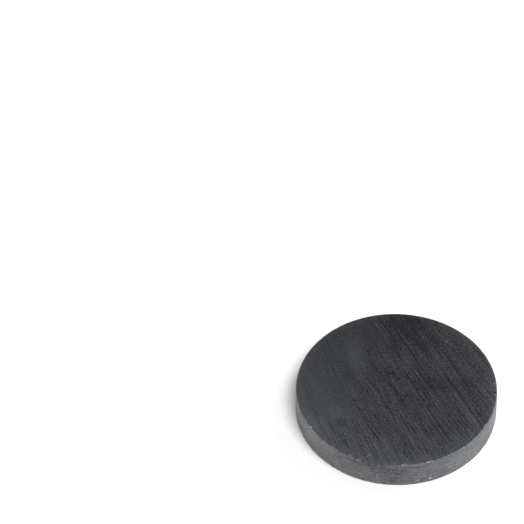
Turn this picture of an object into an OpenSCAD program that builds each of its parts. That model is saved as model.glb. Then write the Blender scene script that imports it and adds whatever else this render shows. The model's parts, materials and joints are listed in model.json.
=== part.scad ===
// Flat ferrite disc magnet.
// Pressed and sintered in one piece, then ground: two flat pole faces and a round rim. Nothing is
// plated or moulded over it, so the hard, brittle edge keeps the small shell-shaped chips of use.
// The lower pole face lies on z = 0 and the disc's axis is Z.

/* [Disc] */
// Diameter over the ground rim
disc_d = 20; // [8:0.5:60]
// Thickness from pole face to pole face
disc_t = 3; // [2:0.1:15]
// Leg of the 45 degree break along both edges
edge_break = 0.12; // [0.05:0.01:0.4]

/* [Edge chips] */
// Width of the largest chip, along the edge
chip_w = 0.8; // [0.5:0.05:1.6]
// Depth of the largest chip, square in from the sharp corner
chip_depth = 0.24; // [0.15:0.01:0.4]

/* [Hidden] */
$fn = 96;
disc_r = disc_d / 2;

// Chips along the upper edge, where the disc has been knocked: [place, size, lean].
// place is the angle round the rim from +X, and size is a share of the largest chip.
// lean is how far the blow came down from above: a low one runs down the rim, and a high one
// runs into the face.
UPPER_CHIPS = [
    [-150, 0.70, 15],
    [-138, 0.60, 40],
    [-129, 0.65, 40],
    [-118, 0.65, 60],
    [-111, 0.75, 55],
    [-103, 0.60, 60],
    [-88, 1.00, 45],
    [-72, 0.75, 35],
    [-49, 0.60, 40],
    [-37, 0.60, 30],
    [-29, 0.70, 25],
    [-19, 0.90, 55],
    [-2, 0.60, 45],
    [65, 0.65, 55],
    [70, 0.75, 60],
    [75, 0.90, 60]
];
// Chips along the lower edge, in the same terms
LOWER_CHIPS = [
    [-107, 0.60, 40],
    [-46, 0.60, 25]
];

// Half of the disc's section, from the axis out to the rim, with both edges broken
module disc_section() {
    polygon([
        [0, 0],
        [disc_r - edge_break, 0],
        [disc_r, edge_break],
        [disc_r, disc_t - edge_break],
        [disc_r - edge_break, disc_t],
        [0, disc_t]
    ]);
}

// The ball that takes one shell-shaped bite out of the upper edge. Its radius is the one whose
// cap is as wide as the chip where it is as deep as the chip.
module chip(place, size, lean) {
    w = chip_w * size;
    d = chip_depth * size;
    ball_r = (w * w / 4 + d * d) / (2 * d);
    rotate([0, 0, place])
        translate([disc_r, 0, disc_t])
            rotate([0, -lean, 0])
                translate([ball_r - d, 0, 0])
                    sphere(r = ball_r);
}

module upper_chips() {
    for (c = UPPER_CHIPS)
        chip(c[0], c[1], c[2]);
}

// The lower edge's chips are the same bites, turned over about the disc's middle plane
module lower_chips() {
    translate([0, 0, disc_t])
        mirror([0, 0, 1])
            for (c = LOWER_CHIPS)
                chip(c[0], c[1], c[2]);
}

module magnet_disc() {
    color("#46474a")
        difference() {
            rotate_extrude()
                disc_section();
            upper_chips();
            lower_chips();
        }
}

magnet_disc();
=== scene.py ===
"""A flat ferrite disc magnet, as it comes from the grinder and as handling has left it.

The disc is turned from a cylinder, its edges are broken and worn, and the brittle upper edge is
chipped with shell-shaped bites. Three finishes of one material show on it: the ground pole faces,
the ground rim and the granular break where a chip has flown off.
"""

import json
import math
import random

import bpy
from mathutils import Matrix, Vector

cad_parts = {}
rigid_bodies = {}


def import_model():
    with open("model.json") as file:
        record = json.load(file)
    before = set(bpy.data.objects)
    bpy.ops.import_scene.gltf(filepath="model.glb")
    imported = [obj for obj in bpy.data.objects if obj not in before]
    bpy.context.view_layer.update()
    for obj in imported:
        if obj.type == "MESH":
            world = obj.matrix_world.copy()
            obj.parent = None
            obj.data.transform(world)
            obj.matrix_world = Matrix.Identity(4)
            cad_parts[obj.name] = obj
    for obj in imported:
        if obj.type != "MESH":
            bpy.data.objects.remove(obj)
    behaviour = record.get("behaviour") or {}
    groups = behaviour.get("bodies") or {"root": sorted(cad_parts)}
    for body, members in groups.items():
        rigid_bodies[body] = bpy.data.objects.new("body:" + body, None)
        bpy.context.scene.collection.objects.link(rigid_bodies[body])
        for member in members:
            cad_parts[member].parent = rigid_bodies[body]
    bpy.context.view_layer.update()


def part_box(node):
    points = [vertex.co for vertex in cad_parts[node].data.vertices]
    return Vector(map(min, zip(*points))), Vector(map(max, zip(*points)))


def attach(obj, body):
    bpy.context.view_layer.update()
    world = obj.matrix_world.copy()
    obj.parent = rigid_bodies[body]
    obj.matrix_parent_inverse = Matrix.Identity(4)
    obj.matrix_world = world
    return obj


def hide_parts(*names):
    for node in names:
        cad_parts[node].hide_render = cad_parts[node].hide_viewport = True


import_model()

# ---------------------------------------------------------------- sizes, in metres
MM = 0.001
disc_low, disc_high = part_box("magnet_disc")
disc_radius = (disc_high.x - disc_low.x) / 2
disc_thickness = disc_high.z - disc_low.z
face_height = disc_thickness / MM   # of the upper pole face, in the patterns' millimetres

EDGE_BREAK = 0.085 * MM     # leg of the break that tumbling leaves on both edges
EDGE_STEPS = 3              # flats that round off the break
RIM_SIDES = 1440            # one side every 0.044 mm round the rim
RIM_BANDS = 12              # bands down the rim
FACE_RINGS = 3              # narrow rings just inside each edge, for wear to sink into
FACE_RING_WIDTH = 0.10 * MM
WORN_FROM, WORN_TO = -165, -112     # the stretch of the edges, in degrees, that is worn the most
LEAST_WEAR = 0.25           # share of that wear on the rest of the edges
WEAR_SIZE = 0.35 * MM       # how long the wear's dips are
WEAR_DEPTH = 0.09 * MM      # how deep the deepest of them goes
LEVEL = 0.99                # how much of its normal a pole face has along the axis, at least
SMOOTH_ANGLE = math.radians(28)     # edges that turn by more than this stay sharp

# Knocks on the upper edge: place round the rim in degrees from +X, then in
# millimetres the width along the edge, the reach into the face and the drop down the rim.
UPPER_CHIPS = [
    (-153.6, 1.30, 0.18, 0.14),
    (-149.6, 0.44, 0.24, 0.28),
    (-145, 0.50, 0.10, 0.16),
    (-140, 0.56, 0.08, 0.14),
    (-135, 0.26, 0.12, 0.20),
    (-129.5, 0.46, 0.10, 0.22),
    (-123.5, 0.60, 0.10, 0.12),
    (-121.9, 0.26, 0.12, 0.20),
    (-118.5, 0.26, 0.36, 0.12),
    (-113, 0.66, 0.16, 0.24),
    (-101, 0.26, 0.12, 0.10),
    (-91.5, 0.60, 0.10, 0.08),
    (-87.7, 0.96, 0.26, 0.05),
    (-84, 0.28, 0.08, 0.20),
    (-71.8, 0.66, 0.16, 0.18),
    (-67.5, 0.22, 0.08, 0.14),
    (-58.5, 0.34, 0.08, 0.14),
    (-49.5, 0.30, 0.08, 0.14),
    (-35.5, 0.34, 0.10, 0.20),
    (-33, 0.24, 0.13, 0.12),
    (-28.6, 0.66, 0.13, 0.18),
    (-14.7, 0.26, 0.32, 0.12),
    (-11, 0.20, 0.14, 0.12),
    (-4.8, 0.44, 0.24, 0.08),
    (-1.8, 0.30, 0.18, 0.24),
    (3.8, 0.30, 0.30, 0.08),
    (18, 0.40, 0.08, 0.10),
    (71.5, 0.50, 0.10, 0.05),
    (77, 0.60, 0.18, 0.08),
]
# The same on the lower edge
LOWER_CHIPS = [
    (-107, 0.28, 0.08, 0.14),
    (-46.5, 0.28, 0.10, 0.14),
]
# The smallest nicks, strewn by chance: how many, between which places round the rim, and the
# widest of them in millimetres
NICKS = [(36, -160, -112, 0.20), (40, -112, 60, 0.16), (20, 60, 200, 0.12)]
NICK_SEED = 7
NICK_SMALLEST = 0.08        # mm wide
NICK_REACH = (0.2, 0.7)     # least and most reach into the face, as a share of a nick's width
NICK_DROP = (0.3, 1.0)      # the same for the drop down the rim
NICKS_ABOVE = 0.8           # share of the nicks that lie on the upper edge
LARGE_CHIP = 0.26           # mm: wider chips are cut with a finer ball
FLAKE_SIZE = 0.5            # size of the flakes in a chip, as a share of its width
FLAKE_DEPTH = 0.30          # how deep the flaking goes, as a share of its width


# ---------------------------------------------------------------- small helpers
def linear(hex_code):
    """The linear colour of an sRGB hex value."""
    channels = [int(hex_code[i:i + 2], 16) / 255 for i in (1, 3, 5)]
    return [c / 12.92 if c <= 0.04045 else ((c + 0.055) / 1.055) ** 2.4 for c in channels] + [1.0]


def add(tree, kind, inputs=None, **settings):
    """Adds a node: settings are its properties, inputs its sockets' values or what feeds them."""
    made = tree.nodes.new(kind)
    for name, value in settings.items():
        setattr(made, name, value)
    for socket, value in (inputs or {}).items():
        if isinstance(value, bpy.types.NodeSocket):
            tree.links.new(value, made.inputs[socket])
        else:
            made.inputs[socket].default_value = value
    return made


def pick_only(piece):
    """Selects this piece alone, so that the next operator works on it and nothing else."""
    bpy.ops.object.select_all(action="DESELECT")
    piece.select_set(True)
    bpy.context.view_layer.objects.active = piece


def settle(piece):
    """Puts the piece's place, turn and size into its mesh, so that its object sits at the origin."""
    pick_only(piece)
    bpy.ops.object.transform_apply(location=True, rotation=True, scale=True)


def unpick_mesh(piece, kind):
    """Leaves nothing selected in the piece's mesh, ready for its edges or faces to be picked."""
    pick_only(piece)
    bpy.ops.object.mode_set(mode="EDIT")
    bpy.ops.mesh.select_mode(type=kind)
    bpy.ops.mesh.select_all(action="DESELECT")
    bpy.ops.object.mode_set(mode="OBJECT")


def edit_edges(piece, wanted):
    """Enters edit mode with only the edges selected whose two ends wanted() accepts."""
    unpick_mesh(piece, "EDGE")
    corners = piece.data.vertices
    for edge in piece.data.edges:
        start, end = edge.vertices
        edge.select = wanted(corners[start].co, corners[end].co)
    bpy.ops.object.mode_set(mode="EDIT")


def edit_faces(piece, wanted):
    """Enters edit mode with only the faces selected that wanted() accepts."""
    unpick_mesh(piece, "FACE")
    for face in piece.data.polygons:
        face.select = wanted(face)
    bpy.ops.object.mode_set(mode="EDIT")


def leave_edit():
    """Goes back to object mode."""
    bpy.ops.object.mode_set(mode="OBJECT")


def apply_modifier(piece, kind, name, **settings):
    """Adds a modifier with its settings and makes its result the piece's own mesh."""
    pick_only(piece)
    modifier = piece.modifiers.new(name, kind)
    for setting, value in settings.items():
        setattr(modifier, setting, value)
    bpy.ops.object.modifier_apply(modifier=modifier.name)


# ---------------------------------------------------------------- camera
LENS = 352                  # mm: a long lens, so the disc hardly tapers
SENSOR = 36                 # mm wide
LOOK_DOWN = 47.692          # degrees below level
CAMERA_PLACE = (-13.35 * MM, -333.06 * MM, 387.6 * MM)


def set_camera():
    """A camera in front of the disc, looking down on it."""
    eye = bpy.data.cameras.new("camera")
    eye.lens = LENS
    eye.sensor_width = SENSOR
    camera = bpy.data.objects.new("camera", eye)
    camera.location = CAMERA_PLACE
    camera.rotation_euler = (math.radians(90 - LOOK_DOWN), 0, 0)
    bpy.context.scene.collection.objects.link(camera)
    bpy.context.scene.camera = camera


set_camera()


# ---------------------------------------------------------------- finishes
LAY_TURN = 24               # degrees that the grinding marks lean from Y
LAY_FAN = 80                # mm along the marks over which they would spread to twice the spacing
CROSS_TURN = 8              # degrees more that the marks of the second pass lean
STRETCHES = (10, 20, 40, 80)    # how many times as long as wide a scratch may be drawn
FERRITE_IOR = 1.45          # a ground, unpolished oxide keeps little of its gloss
FLECK_AND_GLINT_COLOUR = "#d6d7d6"    # a loose or broken grain, and the painted highlight where the edge catches the light
RUBBED_FROM, RUBBED_TO = 9.1, 9.8   # mm out from the axis, where handling has rubbed the face
RUBBED_PALER = 0.13         # how far that shifts the tone
CUT_FROM, CUT_TO = -6.2, -1.2       # mm in X, between which the wheel's cut comes up to its full
CUT_LEAN = -0.35            # what a step in Y counts for beside one in X there, as that border leans
LEAST_CUT, FULL_CUT = 0.38, 1.03    # share of the grinding pattern left and right of that border
GROOVE_WIDTH = 0.03         # how far from its middle a mottled pattern still makes a groove
HATCH_FROM, HATCH_TO = -0.15, 0.2   # values of a mottled pattern between which even marks come in
GRAIN_SWING = 0.3           # a mottled pattern hardly strays further than this from its middle

# Marks on the upper face, in millimetres from its centre: the two ends of each, half its width,
# and how far it shifts the tone there (dark below zero, pale above). These run with the grinding
# marks.
SCRATCHES = [
    ((3.9, 3.8), (7.7, -3.6), 0.08, -0.81),
    ((5.9, 0.2), (9.2, -6.9), 0.08, -0.72),
    ((6.9, -1.6), (9.3, -6.4), 0.05, 0.44),
    ((5.4, 0.0), (8.9, -6.6), 0.23, 0.38),
    ((5.0, -0.4), (8.0, -6.1), 0.16, -0.39),
    ((3.9, 6.2), (7.6, -0.2), 0.16, -0.39),
    ((3.7, 6.4), (5.5, 2.9), 0.06, 0.64),
    ((4.9, 5.3), (8.4, -0.3), 0.07, 0.64),
    ((5.3, 6.4), (9.5, 0.0), 0.07, -0.60),
    ((4.4, 7.6), (5.7, 5.2), 0.08, 0.35),
    ((-0.3, 9.0), (1.9, 4.5), 0.09, 0.46),
    ((-0.4, 8.8), (2.6, 2.6), 0.08, -0.49),
    ((1.8, 8.8), (3.6, 5.4), 0.09, 0.41),
    ((-0.3, 6.3), (1.7, 2.1), 0.09, 0.35),
    ((3.2, 3.1), (4.9, -0.6), 0.07, 0.45),
    ((0.3, 3.4), (2.3, -0.7), 0.08, -0.38),
    ((-1.3, 2.9), (0.3, -0.3), 0.10, 0.30),
    ((1.8, -0.5), (4.5, -6.3), 0.08, 0.54),
    ((2.3, -0.8), (5.6, -8.0), 0.08, -0.46),
    ((0.9, -1.0), (3.2, -5.6), 0.10, -0.32),
    ((0.6, -5.1), (2.2, -8.6), 0.10, 0.46),
    ((2.3, -6.9), (3.4, -9.2), 0.11, -0.46),
    ((0.2, -7.4), (1.2, -9.6), 0.12, -0.38),
    ((1.5, -3.9), (2.8, -6.7), 0.09, 0.32),
    ((3.6, -2.5), (5.8, -7.2), 0.08, 0.39),
    ((5.6, -4.8), (6.8, -7.1), 0.16, -0.28),
    ((-8.8, -1.2), (-7.0, -6.2), 0.11, -0.39),
    ((-6.3, -3.3), (-4.6, -7.4), 0.11, 0.20),
    ((-0.4, -3.3), (0.5, -5.2), 0.10, 0.40),
    ((-2.5, 0.8), (-0.5, -3.9), 0.10, 0.26),
    ((-0.9, 0.7), (0.4, -1.6), 0.11, 0.26),
]
# These run with the slanted marks of a second pass
CROSS_SCRATCHES = [
    ((-1.8, 3.6), (-0.1, 0.6), 0.10, -0.24),
    ((-7.8, -3.4), (-6.4, -6.8), 0.10, 0.39),
    ((-7.2, -3.5), (-6.0, -6.1), 0.13, -0.33),
    ((-5.7, -5.8), (-4.5, -8.3), 0.14, -0.40),
    ((-5.1, -2.6), (-3.4, -6.3), 0.12, -0.16),
    ((-3.7, -3.0), (-0.8, -8.9), 0.13, -0.34),
    ((-2.4, -5.0), (0.2, -9.9), 0.18, 0.30),
    ((-2.6, -7.6), (-1.7, -9.6), 0.10, -0.34),
    ((-0.3, -4.6), (1.1, -7.4), 0.09, -0.26),
    ((-3.9, 2.6), (-0.8, -2.7), 0.07, 0.36),
    ((-3.5, 2.6), (-0.7, -2.2), 0.07, -0.36),
    ((-3.0, 2.2), (-1.1, -1.0), 0.06, 0.24),
    ((-3.7, 3.3), (-1.7, -0.2), 0.07, -0.22),
    ((-1.8, -0.9), (0.0, -4.0), 0.09, -0.30),
    ((-2.1, -1.9), (-0.7, -4.3), 0.08, 0.36),
    ((-2.3, -2.0), (-0.9, -4.2), 0.07, -0.22),
    ((-4.3, -1.1), (-3.2, -3.2), 0.10, 0.34),
    ((-4.0, -2.9), (-2.3, -6.6), 0.09, 0.26),
]
# Broad, faint patches, in the same terms. Most of them are painted light and shade: shade over the
# back and middle of the face, light over its front and sides. The others are where the wheel bit more
# or less.
FACE_SHADE_AND_PATCHES = [
    ((-2.4, 9.8), (5.2, 8.8), 3.80, -0.34),
    ((-0.8, 8.0), (5.4, 4.0), 3.00, -0.18),
    ((-0.8, 3.4), (6.2, -1.4), 2.20, -0.11),
    ((-0.7, 3.2), (0.3, 1.4), 0.70, -0.16),
    ((1.8, 0.6), (5.2, 0.2), 1.20, -0.08),
    ((6.4, 2.6), (7.8, -0.6), 1.30, -0.08),
    ((3.0, -4.2), (3.9, -6.2), 1.10, -0.10),
    ((-6.5, -3.8), (-4.7, -4.9), 1.00, -0.34),
    ((-9.0, 7.5), (-8.0, -9.5), 6.00, 0.22),
    ((-7.6, -0.2), (-3.2, -7.8), 2.60, 0.26),
    ((-4.8, 9.0), (-3.0, -0.4), 1.70, 0.20),
    ((-0.3, 8.6), (0.6, 2.6), 1.20, -0.18),
    ((2.4, 7.2), (5.6, 5.6), 1.10, -0.10),
    ((-10.5, -0.5), (-5.5, -9.5), 2.00, 0.36),
    ((-8.0, -6.6), (2.0, -11.0), 4.20, 0.36),
    ((-2.0, -9.6), (7.0, -9.0), 2.60, 0.24),
    ((10.2, 4.5), (9.6, -5.0), 2.20, 0.26),
    ((8.6, -4.0), (3.8, -9.4), 1.60, 0.28),
    ((1.2, -5.2), (5.2, -8.8), 1.40, 0.16),
    ((6.6, -2.4), (8.2, -5.4), 0.70, 0.10),
    ((9.4, 3.0), (9.4, 0.6), 1.00, 0.12),
    ((-0.6, -8.0), (1.8, -9.6), 1.40, 0.10),
    ((1.6, -0.2), (6.8, 0.3), 0.18, -0.12),
    ((-5.6, 0.6), (-3.6, -2.0), 1.40, 0.12),
    ((-5.6, -6.6), (-4.0, -8.6), 1.20, 0.14),
    ((2.2, 2.8), (3.6, 1.2), 0.90, 0.12),
    ((7.0, 3.4), (7.8, 0.8), 0.90, 0.10),
    ((7.3, -3.2), (7.9, -5.0), 0.80, 0.13),
    ((-2.2, -3.4), (-0.8, -6.2), 0.80, 0.10),
    ((-1.6, -5.0), (0.6, -8.4), 1.00, 0.11),
    ((-3.2, -7.3), (-1.4, -8.9), 0.80, -0.14),
    ((-4.8, -8.3), (-4.6, -8.8), 0.10, 0.90),
]
# Small dark pits in the upper face, with their shade painted: place, reach and shift of tone
PIT_SHADE = [
    ((-0.8, 2.0), 0.25, -0.70),
    ((-0.4, 2.0), 0.27, -0.90),
    ((0.2, 1.3), 0.30, -0.55),
    ((-1.0, 2.7), 0.23, -0.60),
    ((-0.6, 2.9), 0.21, -0.50),
    ((1.8, 0.9), 0.25, -0.60),
    ((2.1, -0.1), 0.27, -0.75),
    ((2.7, 0.1), 0.27, -0.75),
    ((3.5, 0.2), 0.23, -0.60),
    ((4.2, 0.2), 0.23, -0.55),
    ((1.0, -0.9), 0.25, -0.55),
    ((0.6, -1.5), 0.25, -0.50),
    ((2.7, -1.5), 0.24, -0.75),
    ((3.2, -2.3), 0.23, -0.55),
    ((2.8, -5.5), 0.25, -0.50),
    ((3.4, -5.9), 0.23, -0.50),
    ((9.8, -0.5), 0.19, -1.30),
]
# Painted light and shade on the rim, and pits: paler patches where light falls on its sides, darker
# ones over its front, and small dark pits with their shade painted. Place in degrees, then in
# millimetres the height, half the length and half the height of each, and its shift of tone.
RIM_LIGHT_SHADE_AND_PITS = [
    (-105, 2.8, 4.2, 1.4, -0.32),
    (-90, 1.6, 2.8, 2.0, -0.20),
    (-146, 2.5, 4.0, 2.0, 0.22),
    (-46, 1.6, 6.4, 3.0, 0.19),
    (-14, 1.5, 3.0, 3.0, 0.22),
    (-80, 2.8, 1.2, 0.7, -0.10),
    (-133, 2.6, 1.8, 0.9, 0.10),
    (-72.5, 2.74, 0.15, 0.10, -0.36),
    (-62.5, 2.72, 0.17, 0.12, -0.30),
]
# Pale flecks along the upper edge: from -73 to -29 degrees they paint the highlight along the
# broken edge, and further round they are pale broken grain. The same terms, with how pale each is
# in place of its shift.
EDGE_GLINTS_AND_FLECKS = [
    (-149.8, 2.88, 0.30, 0.15, 0.42),
    (-145.0, 2.91, 0.15, 0.15, 0.40),
    (-141.5, 2.93, 0.12, 0.08, 0.25),
    (-137.0, 2.88, 0.15, 0.19, 0.32),
    (-122.0, 2.87, 0.14, 0.13, 0.22),
    (-117.0, 2.86, 0.06, 0.22, 0.28),
    (-105.0, 2.87, 0.15, 0.11, 0.18),
    (-87.9, 3.02, 0.34, 0.12, 0.12),
    (-72.6, 2.92, 0.30, 0.14, 0.20),
    (-60.0, 2.90, 0.16, 0.12, 0.22),
    (-49.5, 2.90, 0.16, 0.12, 0.24),
    (-40.0, 2.90, 0.14, 0.14, 0.22),
    (-36.0, 2.92, 0.10, 0.12, 0.25),
    (-29.0, 2.95, 0.40, 0.12, 0.26),
]
# Pale grit that shows in the upper face, and in the last two, by the back edge, a painted highlight
# on the lip of a chip: place, reach and how pale it is
FACE_GRIT_AND_GLINTS = [
    ((5.1, 6.2), 0.10, 0.35),
    ((5.8, 3.8), 0.08, 0.30),
    ((-2.8, -8.6), 0.11, 0.50),
    ((-5.2, -5.9), 0.07, 0.40),
    ((2.6, 9.4), 0.20, 0.16),
    ((2.9, 9.3), 0.16, 0.10),
]
# The same in the rim, in the terms of the edge's flecks
RIM_GRIT = [
    (-71.3, 0.50, 0.15, 0.15, 1.7),
    (-78.5, 0.57, 0.13, 0.13, 1.3),
    (-77.4, 1.00, 0.07, 0.07, 1.0),
    (-74.9, 1.30, 0.07, 0.07, 1.0),
    (-70.7, 1.00, 0.06, 0.06, 0.9),
]


def new_material(name):
    """An empty material and its node tree."""
    material = bpy.data.materials.new(name)
    material.use_nodes = True
    tree = material.node_tree
    tree.nodes.clear()
    return material, tree


def millimetres(tree):
    """The object's own coordinates, in millimetres."""
    place = add(tree, "ShaderNodeTexCoord").outputs["Object"]
    return add(tree, "ShaderNodeVectorMath", {0: place, "Scale": 1 / MM}, operation="SCALE").outputs[0]


def grain(tree, place, size, detail, shift, coarseness=0.6):
    """A mottled pattern of that size, in millimetres along each axis, about a middle of 0.

    The shift moves it along, so that no two patterns fall together. A size in Z of 0.83 keeps the
    upper pole face off the planes where this noise goes flat.
    """
    finer = tuple(1 / length for length in size)
    away = (shift, shift * 1.7 + 0.5, shift * 0.6 + 0.37)
    stretched = add(tree, "ShaderNodeVectorMath", {0: place, 1: finer, 2: away},
                    operation="MULTIPLY_ADD").outputs[0]
    cloud = add(tree, "ShaderNodeTexNoise", {
        "Vector": stretched, "Scale": 1.0, "Detail": detail, "Roughness": coarseness}).outputs["Fac"]
    return add(tree, "ShaderNodeMath", {0: cloud, 1: 0.5}, operation="SUBTRACT").outputs[0]


def fade(tree, away, reach, strength):
    """A mark by how far each point lies from its middle: full there, and gone at its reach."""
    return add(tree, "ShaderNodeMapRange", {
        "Value": away, "From Max": reach, "To Min": strength, "To Max": 0.0},
        interpolation_type="SMOOTHSTEP", clamp=False).outputs[0]


def groove(tree, pattern):
    """1 along the lines where a mottled pattern passes through its middle, and 0 away from them."""
    off = add(tree, "ShaderNodeMath", {0: pattern}, operation="ABSOLUTE").outputs[0]
    return fade(tree, off, GROOVE_WIDTH, 1.0)


def hatch(tree, place, spacing, length, waver, shown):
    """Even marks that run along Y, wavering a little, where the pattern called shown is high."""
    drawn = add(tree, "ShaderNodeVectorMath", {
        0: place, 1: (1.0, spacing / length, spacing / length)}, operation="MULTIPLY").outputs[0]
    # at a scale of 1 this texture's bands are tau / 20 apart
    marks = add(tree, "ShaderNodeTexWave", {
        "Vector": drawn, "Scale": math.tau / 20 / spacing, "Distortion": waver, "Detail": 2.0,
        "Detail Scale": 1.2}, wave_type="BANDS", bands_direction="X").outputs["Fac"]
    marks = add(tree, "ShaderNodeMath", {0: marks, 1: 0.5}, operation="SUBTRACT").outputs[0]
    clear = add(tree, "ShaderNodeMapRange", {
        "Value": shown, "From Min": HATCH_FROM, "From Max": HATCH_TO},
        interpolation_type="SMOOTHSTEP", clamp=False).outputs[0]
    return add(tree, "ShaderNodeMath", {0: marks, 1: clear}, operation="MULTIPLY").outputs[0]


def smear(tree, place, middle, half_size, turn, strength):
    """A mark that fades out from its middle, with a size of its own along each axis."""
    own = add(tree, "ShaderNodeMapping", {
        "Vector": place, "Location": middle, "Rotation": (0, 0, turn), "Scale": half_size},
        vector_type="TEXTURE").outputs[0]
    away = add(tree, "ShaderNodeVectorMath", {0: own}, operation="LENGTH").outputs["Value"]
    return fade(tree, away, 1.0, strength)


def face_mark(tree, place, start, end, half_width, strength):
    """A smear along a line on the upper face."""
    along = (end[0] - start[0], end[1] - start[1])
    middle = ((start[0] + end[0]) / 2, (start[1] + end[1]) / 2, face_height)
    half_size = (math.hypot(*along) / 2, half_width, 1.0)
    return smear(tree, place, middle, half_size, math.atan2(along[1], along[0]), strength)


def turned(place, degrees):
    """A point's place across and along marks that lean so far."""
    x, y = place
    lean = math.radians(degrees)
    return x * math.cos(lean) + y * math.sin(lean), y * math.cos(lean) - x * math.sin(lean)


def along_lay(place, more):
    """A point's place across and along the grinding marks, which fan out, or marks that lean more."""
    across, along = turned(place, LAY_TURN)
    return turned((across * (1 + along / LAY_FAN), along), more)


def stretch_out(tree, lay):
    """The pattern that follows the marks, drawn out along them by each of the stretches."""
    return {times: add(tree, "ShaderNodeVectorMath", {0: lay, 1: (1.0, 1 / times, 1.0)},
                       operation="MULTIPLY").outputs[0] for times in STRETCHES}


def dot(tree, place, spot, reach, strength):
    """A round mark on the upper face, used for the painted shade of pits, for grains and for a painted
    highlight.
    """
    away = add(tree, "ShaderNodeVectorMath", {0: place, 1: (*spot, face_height)},
               operation="DISTANCE").outputs["Value"]
    return fade(tree, away, reach, strength)


def scratch(tree, drawn_out, more, start, end, half_width, strength):
    """A scratch on the upper face, along the marks: as wide as asked, and about as long."""
    slimness = math.dist(start, end) / 2 / half_width
    times = min(STRETCHES, key=lambda stretch: abs(math.log(slimness / stretch)))
    across, along = along_lay(((start[0] + end[0]) / 2, (start[1] + end[1]) / 2), more)
    middle = (across, along / times, face_height)
    away = add(tree, "ShaderNodeVectorMath", {0: drawn_out[times], 1: middle},
               operation="DISTANCE").outputs["Value"]
    return fade(tree, away, half_width, strength)


def rim_mark(tree, place, at, height, half_length, half_height, strength):
    """A smear on the rim, that many degrees round from +X."""
    turn = math.radians(at)
    middle = (disc_radius / MM * math.cos(turn), disc_radius / MM * math.sin(turn), height)
    return smear(tree, place, middle, (1.0, half_length, half_height), turn, strength)


def blend(tree, start, layers):
    """Adds up patterns, each times its share, from a starting value."""
    total = start
    for pattern, share in layers:
        total = add(tree, "ShaderNodeMath", {0: pattern, 1: share, 2: total},
                    operation="MULTIPLY_ADD").outputs[0]
    return total


def finish_material(tree, tone, dark, pale, dulled_by, least, most, height, depth, flecks):
    """The shader of every finish: dark oxide, toned between two colours, with relief, flecks
    and painted highlights.

    A mottled pattern moves the roughness between its least and its most. The depth of the relief
    is in millimetres.
    """
    colour = add(tree, "ShaderNodeMix", {"Factor": tone, "A": linear(dark), "B": linear(pale)},
                 data_type="RGBA").outputs["Result"]
    for fleck in flecks:
        colour = add(tree, "ShaderNodeMix", {
            "Factor": fleck, "A": colour, "B": linear(FLECK_AND_GLINT_COLOUR)},
            data_type="RGBA").outputs["Result"]
    roughness = add(tree, "ShaderNodeMapRange", {
        "Value": dulled_by, "From Min": -GRAIN_SWING, "From Max": GRAIN_SWING,
        "To Min": least, "To Max": most}).outputs[0]
    relief = add(tree, "ShaderNodeBump", {
        "Height": height, "Distance": depth * MM, "Strength": 1.0}).outputs[0]
    shader = add(tree, "ShaderNodeBsdfPrincipled", {
        "Base Color": colour, "Roughness": roughness, "Normal": relief, "Metallic": 0.0,
        "IOR": FERRITE_IOR})
    add(tree, "ShaderNodeOutputMaterial", {"Surface": shader.outputs["BSDF"]})


def lean_with_marks(tree, place):
    """The object's coordinates turned to the grinding marks, and to those of the second pass."""
    leaning = add(tree, "ShaderNodeMapping", {
        "Vector": place, "Rotation": (0, 0, math.radians(-LAY_TURN))}).outputs[0]
    parts = add(tree, "ShaderNodeSeparateXYZ", {"Vector": leaning}).outputs
    fan = add(tree, "ShaderNodeMath", {0: parts["Y"], 1: 1 / LAY_FAN, 2: 1.0},
              operation="MULTIPLY_ADD").outputs[0]
    across = add(tree, "ShaderNodeMath", {0: parts["X"], 1: fan}, operation="MULTIPLY").outputs[0]
    lay = add(tree, "ShaderNodeCombineXYZ", {
        "X": across, "Y": parts["Y"], "Z": parts["Z"]}).outputs[0]
    slanted = add(tree, "ShaderNodeMapping", {
        "Vector": lay, "Rotation": (0, 0, math.radians(-CROSS_TURN))}).outputs[0]
    return lay, slanted


def grinding(tree, place, lay, slanted, clumps):
    """What the wheel left: fine and coarse marks of two passes over the grain, least at the left.

    The real marks are some hundredths of a millimetre wide, and the real grain is a few
    thousandths. Both would be too fine to show, so they are drawn at 0.14 to 0.4 mm.
    """
    fine = grain(tree, lay, size=(0.14, 5.0, 0.83), detail=2.0, shift=1.3)
    crossing = grain(tree, slanted, size=(0.20, 3.0, 0.83), detail=2.0, shift=8.7)
    dark_lines = grain(tree, lay, size=(0.34, 16.0, 0.83), detail=1.0, shift=2.9)
    pale_lines = grain(tree, lay, size=(0.40, 20.0, 0.83), detail=1.0, shift=6.2)
    straight_here = grain(tree, lay, size=(1.4, 3.0, 0.83), detail=1.0, shift=7.7)
    crossed_here = grain(tree, lay, size=(1.4, 2.0, 0.83), detail=1.0, shift=9.1)
    straight = hatch(tree, lay, spacing=0.35, length=14.0, waver=3.0, shown=straight_here)
    crossed = hatch(tree, slanted, spacing=0.37, length=6.0, waver=3.0, shown=crossed_here)
    speckle = grain(tree, place, size=(0.18, 0.18, 0.18), detail=2.0, shift=3.3, coarseness=0.7)
    worked = blend(tree, 0.0, [
        (fine, 0.95), (crossing, 0.3), (groove(tree, dark_lines), -0.17),
        (groove(tree, pale_lines), 0.17), (straight, 0.26), (crossed, 0.2), (speckle, 2.02),
        (clumps, 0.22)])
    from_left = add(tree, "ShaderNodeVectorMath", {0: place, 1: (1.0, CUT_LEAN, 0.0)},
                    operation="DOT_PRODUCT").outputs["Value"]
    cut = add(tree, "ShaderNodeMapRange", {
        "Value": from_left, "From Min": CUT_FROM, "From Max": CUT_TO,
        "To Min": LEAST_CUT, "To Max": FULL_CUT},
        interpolation_type="SMOOTHSTEP", clamp=False).outputs[0]
    return add(tree, "ShaderNodeMath", {0: worked, 1: cut}, operation="MULTIPLY").outputs[0]


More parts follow.
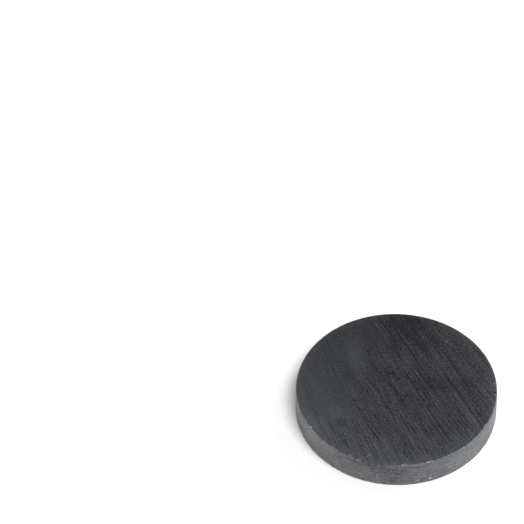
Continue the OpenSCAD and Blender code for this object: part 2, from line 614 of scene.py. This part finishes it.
def rubbed_edge(tree, place):
    """A paler ring just inside the edge of the face, where handling has rubbed it."""
    flat = add(tree, "ShaderNodeVectorMath", {0: place, 1: (1.0, 1.0, 0.0)},
               operation="MULTIPLY").outputs[0]
    out = add(tree, "ShaderNodeVectorMath", {0: flat}, operation="LENGTH").outputs["Value"]
    return add(tree, "ShaderNodeMapRange", {
        "Value": out, "From Min": RUBBED_FROM, "From Max": RUBBED_TO, "To Max": RUBBED_PALER},
        interpolation_type="SMOOTHSTEP", clamp=False).outputs[0]


def face_marks(tree, place, lay, slanted):
    """Every patch, pit and scratch listed for the upper face: most patches painted light
    and shade, the pits painted shade.
    """
    marks = [face_mark(tree, place, *mark) for mark in FACE_SHADE_AND_PATCHES]
    marks += [dot(tree, place, *mark) for mark in PIT_SHADE]
    drawn_out = stretch_out(tree, lay)
    marks += [scratch(tree, drawn_out, 0, *mark) for mark in SCRATCHES]
    drawn_out = stretch_out(tree, slanted)
    marks += [scratch(tree, drawn_out, CROSS_TURN, *mark) for mark in CROSS_SCRATCHES]
    return marks


def ground_face():
    """Sintered ferrite ground flat on a wheel: satin, near black, with fine slanting marks.

    The marks give the eye a brushed direction, and the grain between them a dull, dry look.
    """
    material, tree = new_material("ferrite_ground_face")
    place = millimetres(tree)
    lay, slanted = lean_with_marks(tree, place)
    clumps = grain(tree, place, size=(0.30, 0.30, 0.30), detail=1.0, shift=2.3, coarseness=0.5)
    cloud = grain(tree, place, size=(4.0, 4.0, 4.0), detail=2.0, shift=5.2)
    worked = grinding(tree, place, lay, slanted, clumps)
    tone = blend(tree, 0.32, [
        (worked, 1.0), (clumps, 0.3), (cloud, 0.10), (rubbed_edge(tree, place), 1.0)])
    # the listed marks: painted light and shade across the face, painted shade in its pits, and
    # scratches
    tone = blend(tree, tone, [(mark, 1.0) for mark in face_marks(tree, place, lay, slanted)])
    finish_material(
        tree, tone, dark="#010207", pale="#4f5154", dulled_by=cloud, least=0.40, most=0.48,
        height=blend(tree, 0.5, [(worked, 1.0)]), depth=0.03,
        # pale grit, and a painted highlight by the back edge
        flecks=[dot(tree, place, *one) for one in FACE_GRIT_AND_GLINTS])
    return material


def ground_rim():
    """Sintered ferrite ground round as the disc turned: a little paler, partly as painted
    reflection of the floor, cloudy, faintly lined.

    The cloudiness gives the eye a dry, stony side. Its grain too is drawn coarser than the real
    one, so that it shows.
    """
    material, tree = new_material("ferrite_ground_rim")
    place = millimetres(tree)
    mottle = grain(tree, place, size=(0.70, 0.70, 0.24), detail=2.0, shift=1.9)
    speckle = grain(tree, place, size=(0.25, 0.25, 0.14), detail=2.0, shift=4.3, coarseness=0.7)
    turning = grain(tree, place, size=(1.2, 1.2, 0.16), detail=2.0, shift=6.7)
    worked = blend(tree, 0.0, [(mottle, 0.60), (speckle, 1.35), (turning, 0.70)])
    tone = blend(tree, 0.46, [(worked, 1.0)])
    # painted light on the rim's sides, painted shade over its front, and the painted shade of two pits
    marks = [rim_mark(tree, place, *mark) for mark in RIM_LIGHT_SHADE_AND_PITS]
    tone = blend(tree, tone, [(mark, 1.0) for mark in marks])
    # the rim's colours are paler than the face's partly to paint the floor's reflection, which the low
    # IOR keeps weak
    finish_material(
        tree, tone, dark="#292b2e", pale="#818386", dulled_by=mottle, least=0.40, most=0.52,
        height=blend(tree, 0.5, [(worked, 0.6)]), depth=0.04,
        # pale grit, and the edge's flecks, partly painted highlight
        flecks=[rim_mark(tree, place, *one) for one in RIM_GRIT + EDGE_GLINTS_AND_FLECKS])
    return material


def broken_ferrite():
    """Where a chip has flown off: the bare grain of the sinter, dull, paler and rough.

    The crumbs give the eye a sugary break. They too are drawn coarser than the real grain.
    """
    material, tree = new_material("ferrite_break")
    place = millimetres(tree)
    crumbs = grain(tree, place, size=(0.12, 0.12, 0.12), detail=3.0, shift=5.1)
    tone = blend(tree, 0.5, [(crumbs, 1.8)])
    finish_material(
        tree, tone, dark="#48494c", pale="#86878a", dulled_by=crumbs, least=0.45, most=0.65,
        height=blend(tree, 0.5, [(crumbs, 1.0)]), depth=0.05,
        # the edge's flecks, partly painted highlight
        flecks=[rim_mark(tree, place, *one) for one in EDGE_GLINTS_AND_FLECKS])
    return material


FACE, RIM, BREAK = 0, 1, 2  # the material slots of the disc and of everything that cuts it
finishes = [ground_face(), ground_rim(), broken_ferrite()]


# ---------------------------------------------------------------- the disc
def give_finishes(piece, choose):
    """Gives a mesh all the finishes, and each face the one that choose() picks for it."""
    for finish in finishes:
        piece.data.materials.append(finish)
    for face in piece.data.polygons:
        face.material_index = choose(face)


def turn_disc():
    """The disc as ground: a cylinder with both edges broken and rings ready for wear."""
    bpy.ops.object.select_all(action="DESELECT")
    bpy.ops.mesh.primitive_cylinder_add(
        vertices=RIM_SIDES, radius=disc_radius, depth=disc_thickness,
        location=(0, 0, disc_thickness / 2))
    disc = bpy.context.object
    disc.name = "ferrite_disc"
    settle(disc)

    edit_edges(disc, lambda start, end: abs(start.z - end.z) < EDGE_BREAK)
    bpy.ops.mesh.bevel(offset=EDGE_BREAK, segments=EDGE_STEPS, profile=0.5, affect="EDGES")
    leave_edit()

    edit_edges(disc, lambda start, end: abs(start.z - end.z) > disc_thickness / 2)
    bpy.ops.mesh.subdivide(number_cuts=RIM_BANDS - 1)
    leave_edit()

    edit_faces(disc, lambda face: abs(face.normal.z) > LEVEL)
    for _ in range(FACE_RINGS):
        bpy.ops.mesh.inset(thickness=FACE_RING_WIDTH, depth=0)
    leave_edit()

    give_finishes(disc, lambda face: FACE if abs(face.normal.z) > LEVEL else RIM)
    return disc


def bite(place, width, reach, drop, upper, rounds):
    """What flies off in one knock: a ball squashed so that it meets the edge as wide as asked."""
    out = 0.5               # how far out of the corner its middle lies, as a share of its size
    inner = math.sqrt(1 - out ** 2) - out   # how far in from the corner it reaches, the same way
    along = width / 2 / math.sqrt(1 - 2 * out ** 2)     # half its length along the edge
    bpy.ops.object.select_all(action="DESELECT")
    bpy.ops.mesh.primitive_ico_sphere_add(subdivisions=rounds, radius=1)
    ball = bpy.context.object
    ball.scale = (reach / inner, along, drop / inner)
    height = disc_thickness + out * drop / inner if upper else -out * drop / inner
    ball.location = (disc_radius + out * reach / inner, 0, height)
    settle(ball)
    ball.rotation_euler = (0, 0, math.radians(place))
    settle(ball)
    give_finishes(ball, lambda face: BREAK)
    return ball


def roughen(piece, name, size, depth, mid=0.5, group=""):
    """Pushes the surface in and out by a cloudy pattern of that size, or only in where mid is 1."""
    pattern = bpy.data.textures.new(name, "CLOUDS")
    pattern.noise_scale = size
    pattern.noise_depth = 2
    apply_modifier(piece, "DISPLACE", name, texture=pattern, strength=depth, mid_level=mid,
                   vertex_group=group, texture_coords="LOCAL")


def wear_edges(disc):
    """Makes the broken edges waver, as tumbling leaves them: never outwards, only in."""
    edge = disc.vertex_groups.new(name="edge")
    near = 1.2 * EDGE_BREAK     # a little more than the break, so that both its corners are in
    worn_middle = math.radians((WORN_FROM + WORN_TO) / 2)
    worn_half = math.radians((WORN_TO - WORN_FROM) / 2)
    for corner in disc.data.vertices:
        x, y, z = corner.co
        if math.hypot(x, y) > disc_radius - near and min(z, disc_thickness - z) < near:
            off = abs(math.remainder(math.atan2(y, x) - worn_middle, math.tau)) / worn_half
            worn = max(0.0, min(1.0, 3 - 3 * off))  # full over the middle two thirds
            edge.add([corner.index], LEAST_WEAR + (1 - LEAST_WEAR) * worn, "REPLACE")
    roughen(disc, "worn_edge", WEAR_SIZE, WEAR_DEPTH, mid=1.0, group="edge")
    disc.vertex_groups.clear()


def knock_edges(disc):
    """Cuts every chip and nick out of the disc at once."""
    knocks = [(*chip, True) for chip in UPPER_CHIPS] + [(*chip, False) for chip in LOWER_CHIPS]
    chance = random.Random(NICK_SEED)
    for count, first, last, widest in NICKS:
        for _ in range(count):
            width = chance.uniform(NICK_SMALLEST, widest)
            place = chance.uniform(first, last)
            reach = width * chance.uniform(*NICK_REACH)
            drop = width * chance.uniform(*NICK_DROP)
            knocks.append((place, width, reach, drop, chance.random() < NICKS_ABOVE))
    bites = bpy.data.collections.new("bites")
    for place, width, reach, drop, upper in knocks:
        rounds = 3 if width > LARGE_CHIP else 2
        ball = bite(place, width * MM, reach * MM, drop * MM, upper, rounds)
        roughen(ball, "flaking", FLAKE_SIZE * width * MM, FLAKE_DEPTH * width * MM)
        bites.objects.link(ball)
    apply_modifier(disc, "BOOLEAN", "bites", operand_type="COLLECTION", collection=bites,
                   operation="DIFFERENCE", solver="MANIFOLD")
    for ball in list(bites.objects):
        bpy.data.objects.remove(ball)
    bpy.data.collections.remove(bites)


disc = turn_disc()
wear_edges(disc)
knock_edges(disc)
pick_only(disc)
bpy.ops.object.shade_smooth_by_angle(angle=SMOOTH_ANGLE)
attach(disc, "root")
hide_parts("magnet_disc")


# ---------------------------------------------------------------- floor and light
FLOOR_SIZE = 4              # metres along each side
CARD_COLOUR = "#fcfcfc"
WHITE = "#ffffff"
FLOOR_LIFT = 0.08           # carries the card to full white where it is seen, straight or mirrored
# The white walls are a bright band all round, which the satin faces pick up. They fade out between
# these heights, given as sines, to a dim ceiling.
FADE_FROM, FADE_TO = 0.15, 0.30
WALL_LEVEL, CEILING_LEVEL = 1.0, 0.1
LAMP_DISTANCE = 0.7         # metres from the disc
LAMP_SIZE = 0.4             # metres along each side: large for so small a thing, so its light is soft
# Name, direction in degrees from +X towards +Y, height in degrees above level, and power in watts
LAMPS = [
    ("key", -60, 65, 4.4),
    ("side", 30, 35, 1.25),
    ("back", 120, 65, 0.3),
]


def lay_floor():
    """A wide sheet of white card."""
    bpy.ops.object.select_all(action="DESELECT")
    bpy.ops.mesh.primitive_plane_add(size=FLOOR_SIZE)
    floor = bpy.context.object
    floor.name = "white_floor"
    material, tree = new_material("white_card")
    ray = add(tree, "ShaderNodeLightPath").outputs
    seen = ray["Is Camera Ray"]
    for kind in ("Is Glossy Ray", "Is Transmission Ray"):
        seen = add(tree, "ShaderNodeMath", {0: seen, 1: ray[kind]}, operation="MAXIMUM").outputs[0]
    lift = add(tree, "ShaderNodeMath", {0: seen, 1: FLOOR_LIFT}, operation="MULTIPLY").outputs[0]
    shader = add(tree, "ShaderNodeBsdfPrincipled", {
        "Base Color": linear(CARD_COLOUR), "Roughness": 0.9, "Specular IOR Level": 0.0,
        "Emission Color": linear(WHITE), "Emission Strength": lift})
    add(tree, "ShaderNodeOutputMaterial", {"Surface": shader.outputs["BSDF"]})
    floor.data.materials.append(material)


def hang_lamp(name, direction, height, power):
    """A soft square lamp aimed at the disc."""
    light = bpy.data.lights.new(name, "AREA")
    light.size = LAMP_SIZE
    light.energy = power
    lamp = bpy.data.objects.new(name, light)
    round_by, up_by = math.radians(direction), math.radians(height)
    level = LAMP_DISTANCE * math.cos(up_by)
    lamp.location = (level * math.cos(round_by), level * math.sin(round_by),
                     LAMP_DISTANCE * math.sin(up_by))
    lamp.rotation_euler = (math.radians(90 - height), 0, math.radians(direction + 90))
    bpy.context.scene.collection.objects.link(lamp)


def light_room():
    """A white studio with a dim ceiling, and its lamps."""
    world = bpy.data.worlds.new("studio")
    bpy.context.scene.world = world
    world.use_nodes = True
    tree = world.node_tree
    tree.nodes.clear()
    way = add(tree, "ShaderNodeTexCoord").outputs["Generated"]
    height = add(tree, "ShaderNodeSeparateXYZ", {"Vector": way}).outputs["Z"]
    level = add(tree, "ShaderNodeMapRange", {
        "Value": height, "From Min": FADE_FROM, "From Max": FADE_TO,
        "To Min": WALL_LEVEL, "To Max": CEILING_LEVEL},
        interpolation_type="SMOOTHSTEP", clamp=False).outputs[0]
    glow = add(tree, "ShaderNodeBackground", {
        "Color": linear(WHITE), "Strength": level}).outputs[0]
    add(tree, "ShaderNodeOutputWorld", {"Surface": glow})
    for lamp in LAMPS:
        hang_lamp(*lamp)


lay_floor()
light_room()
bpy.context.scene.view_settings.view_transform = "Standard"
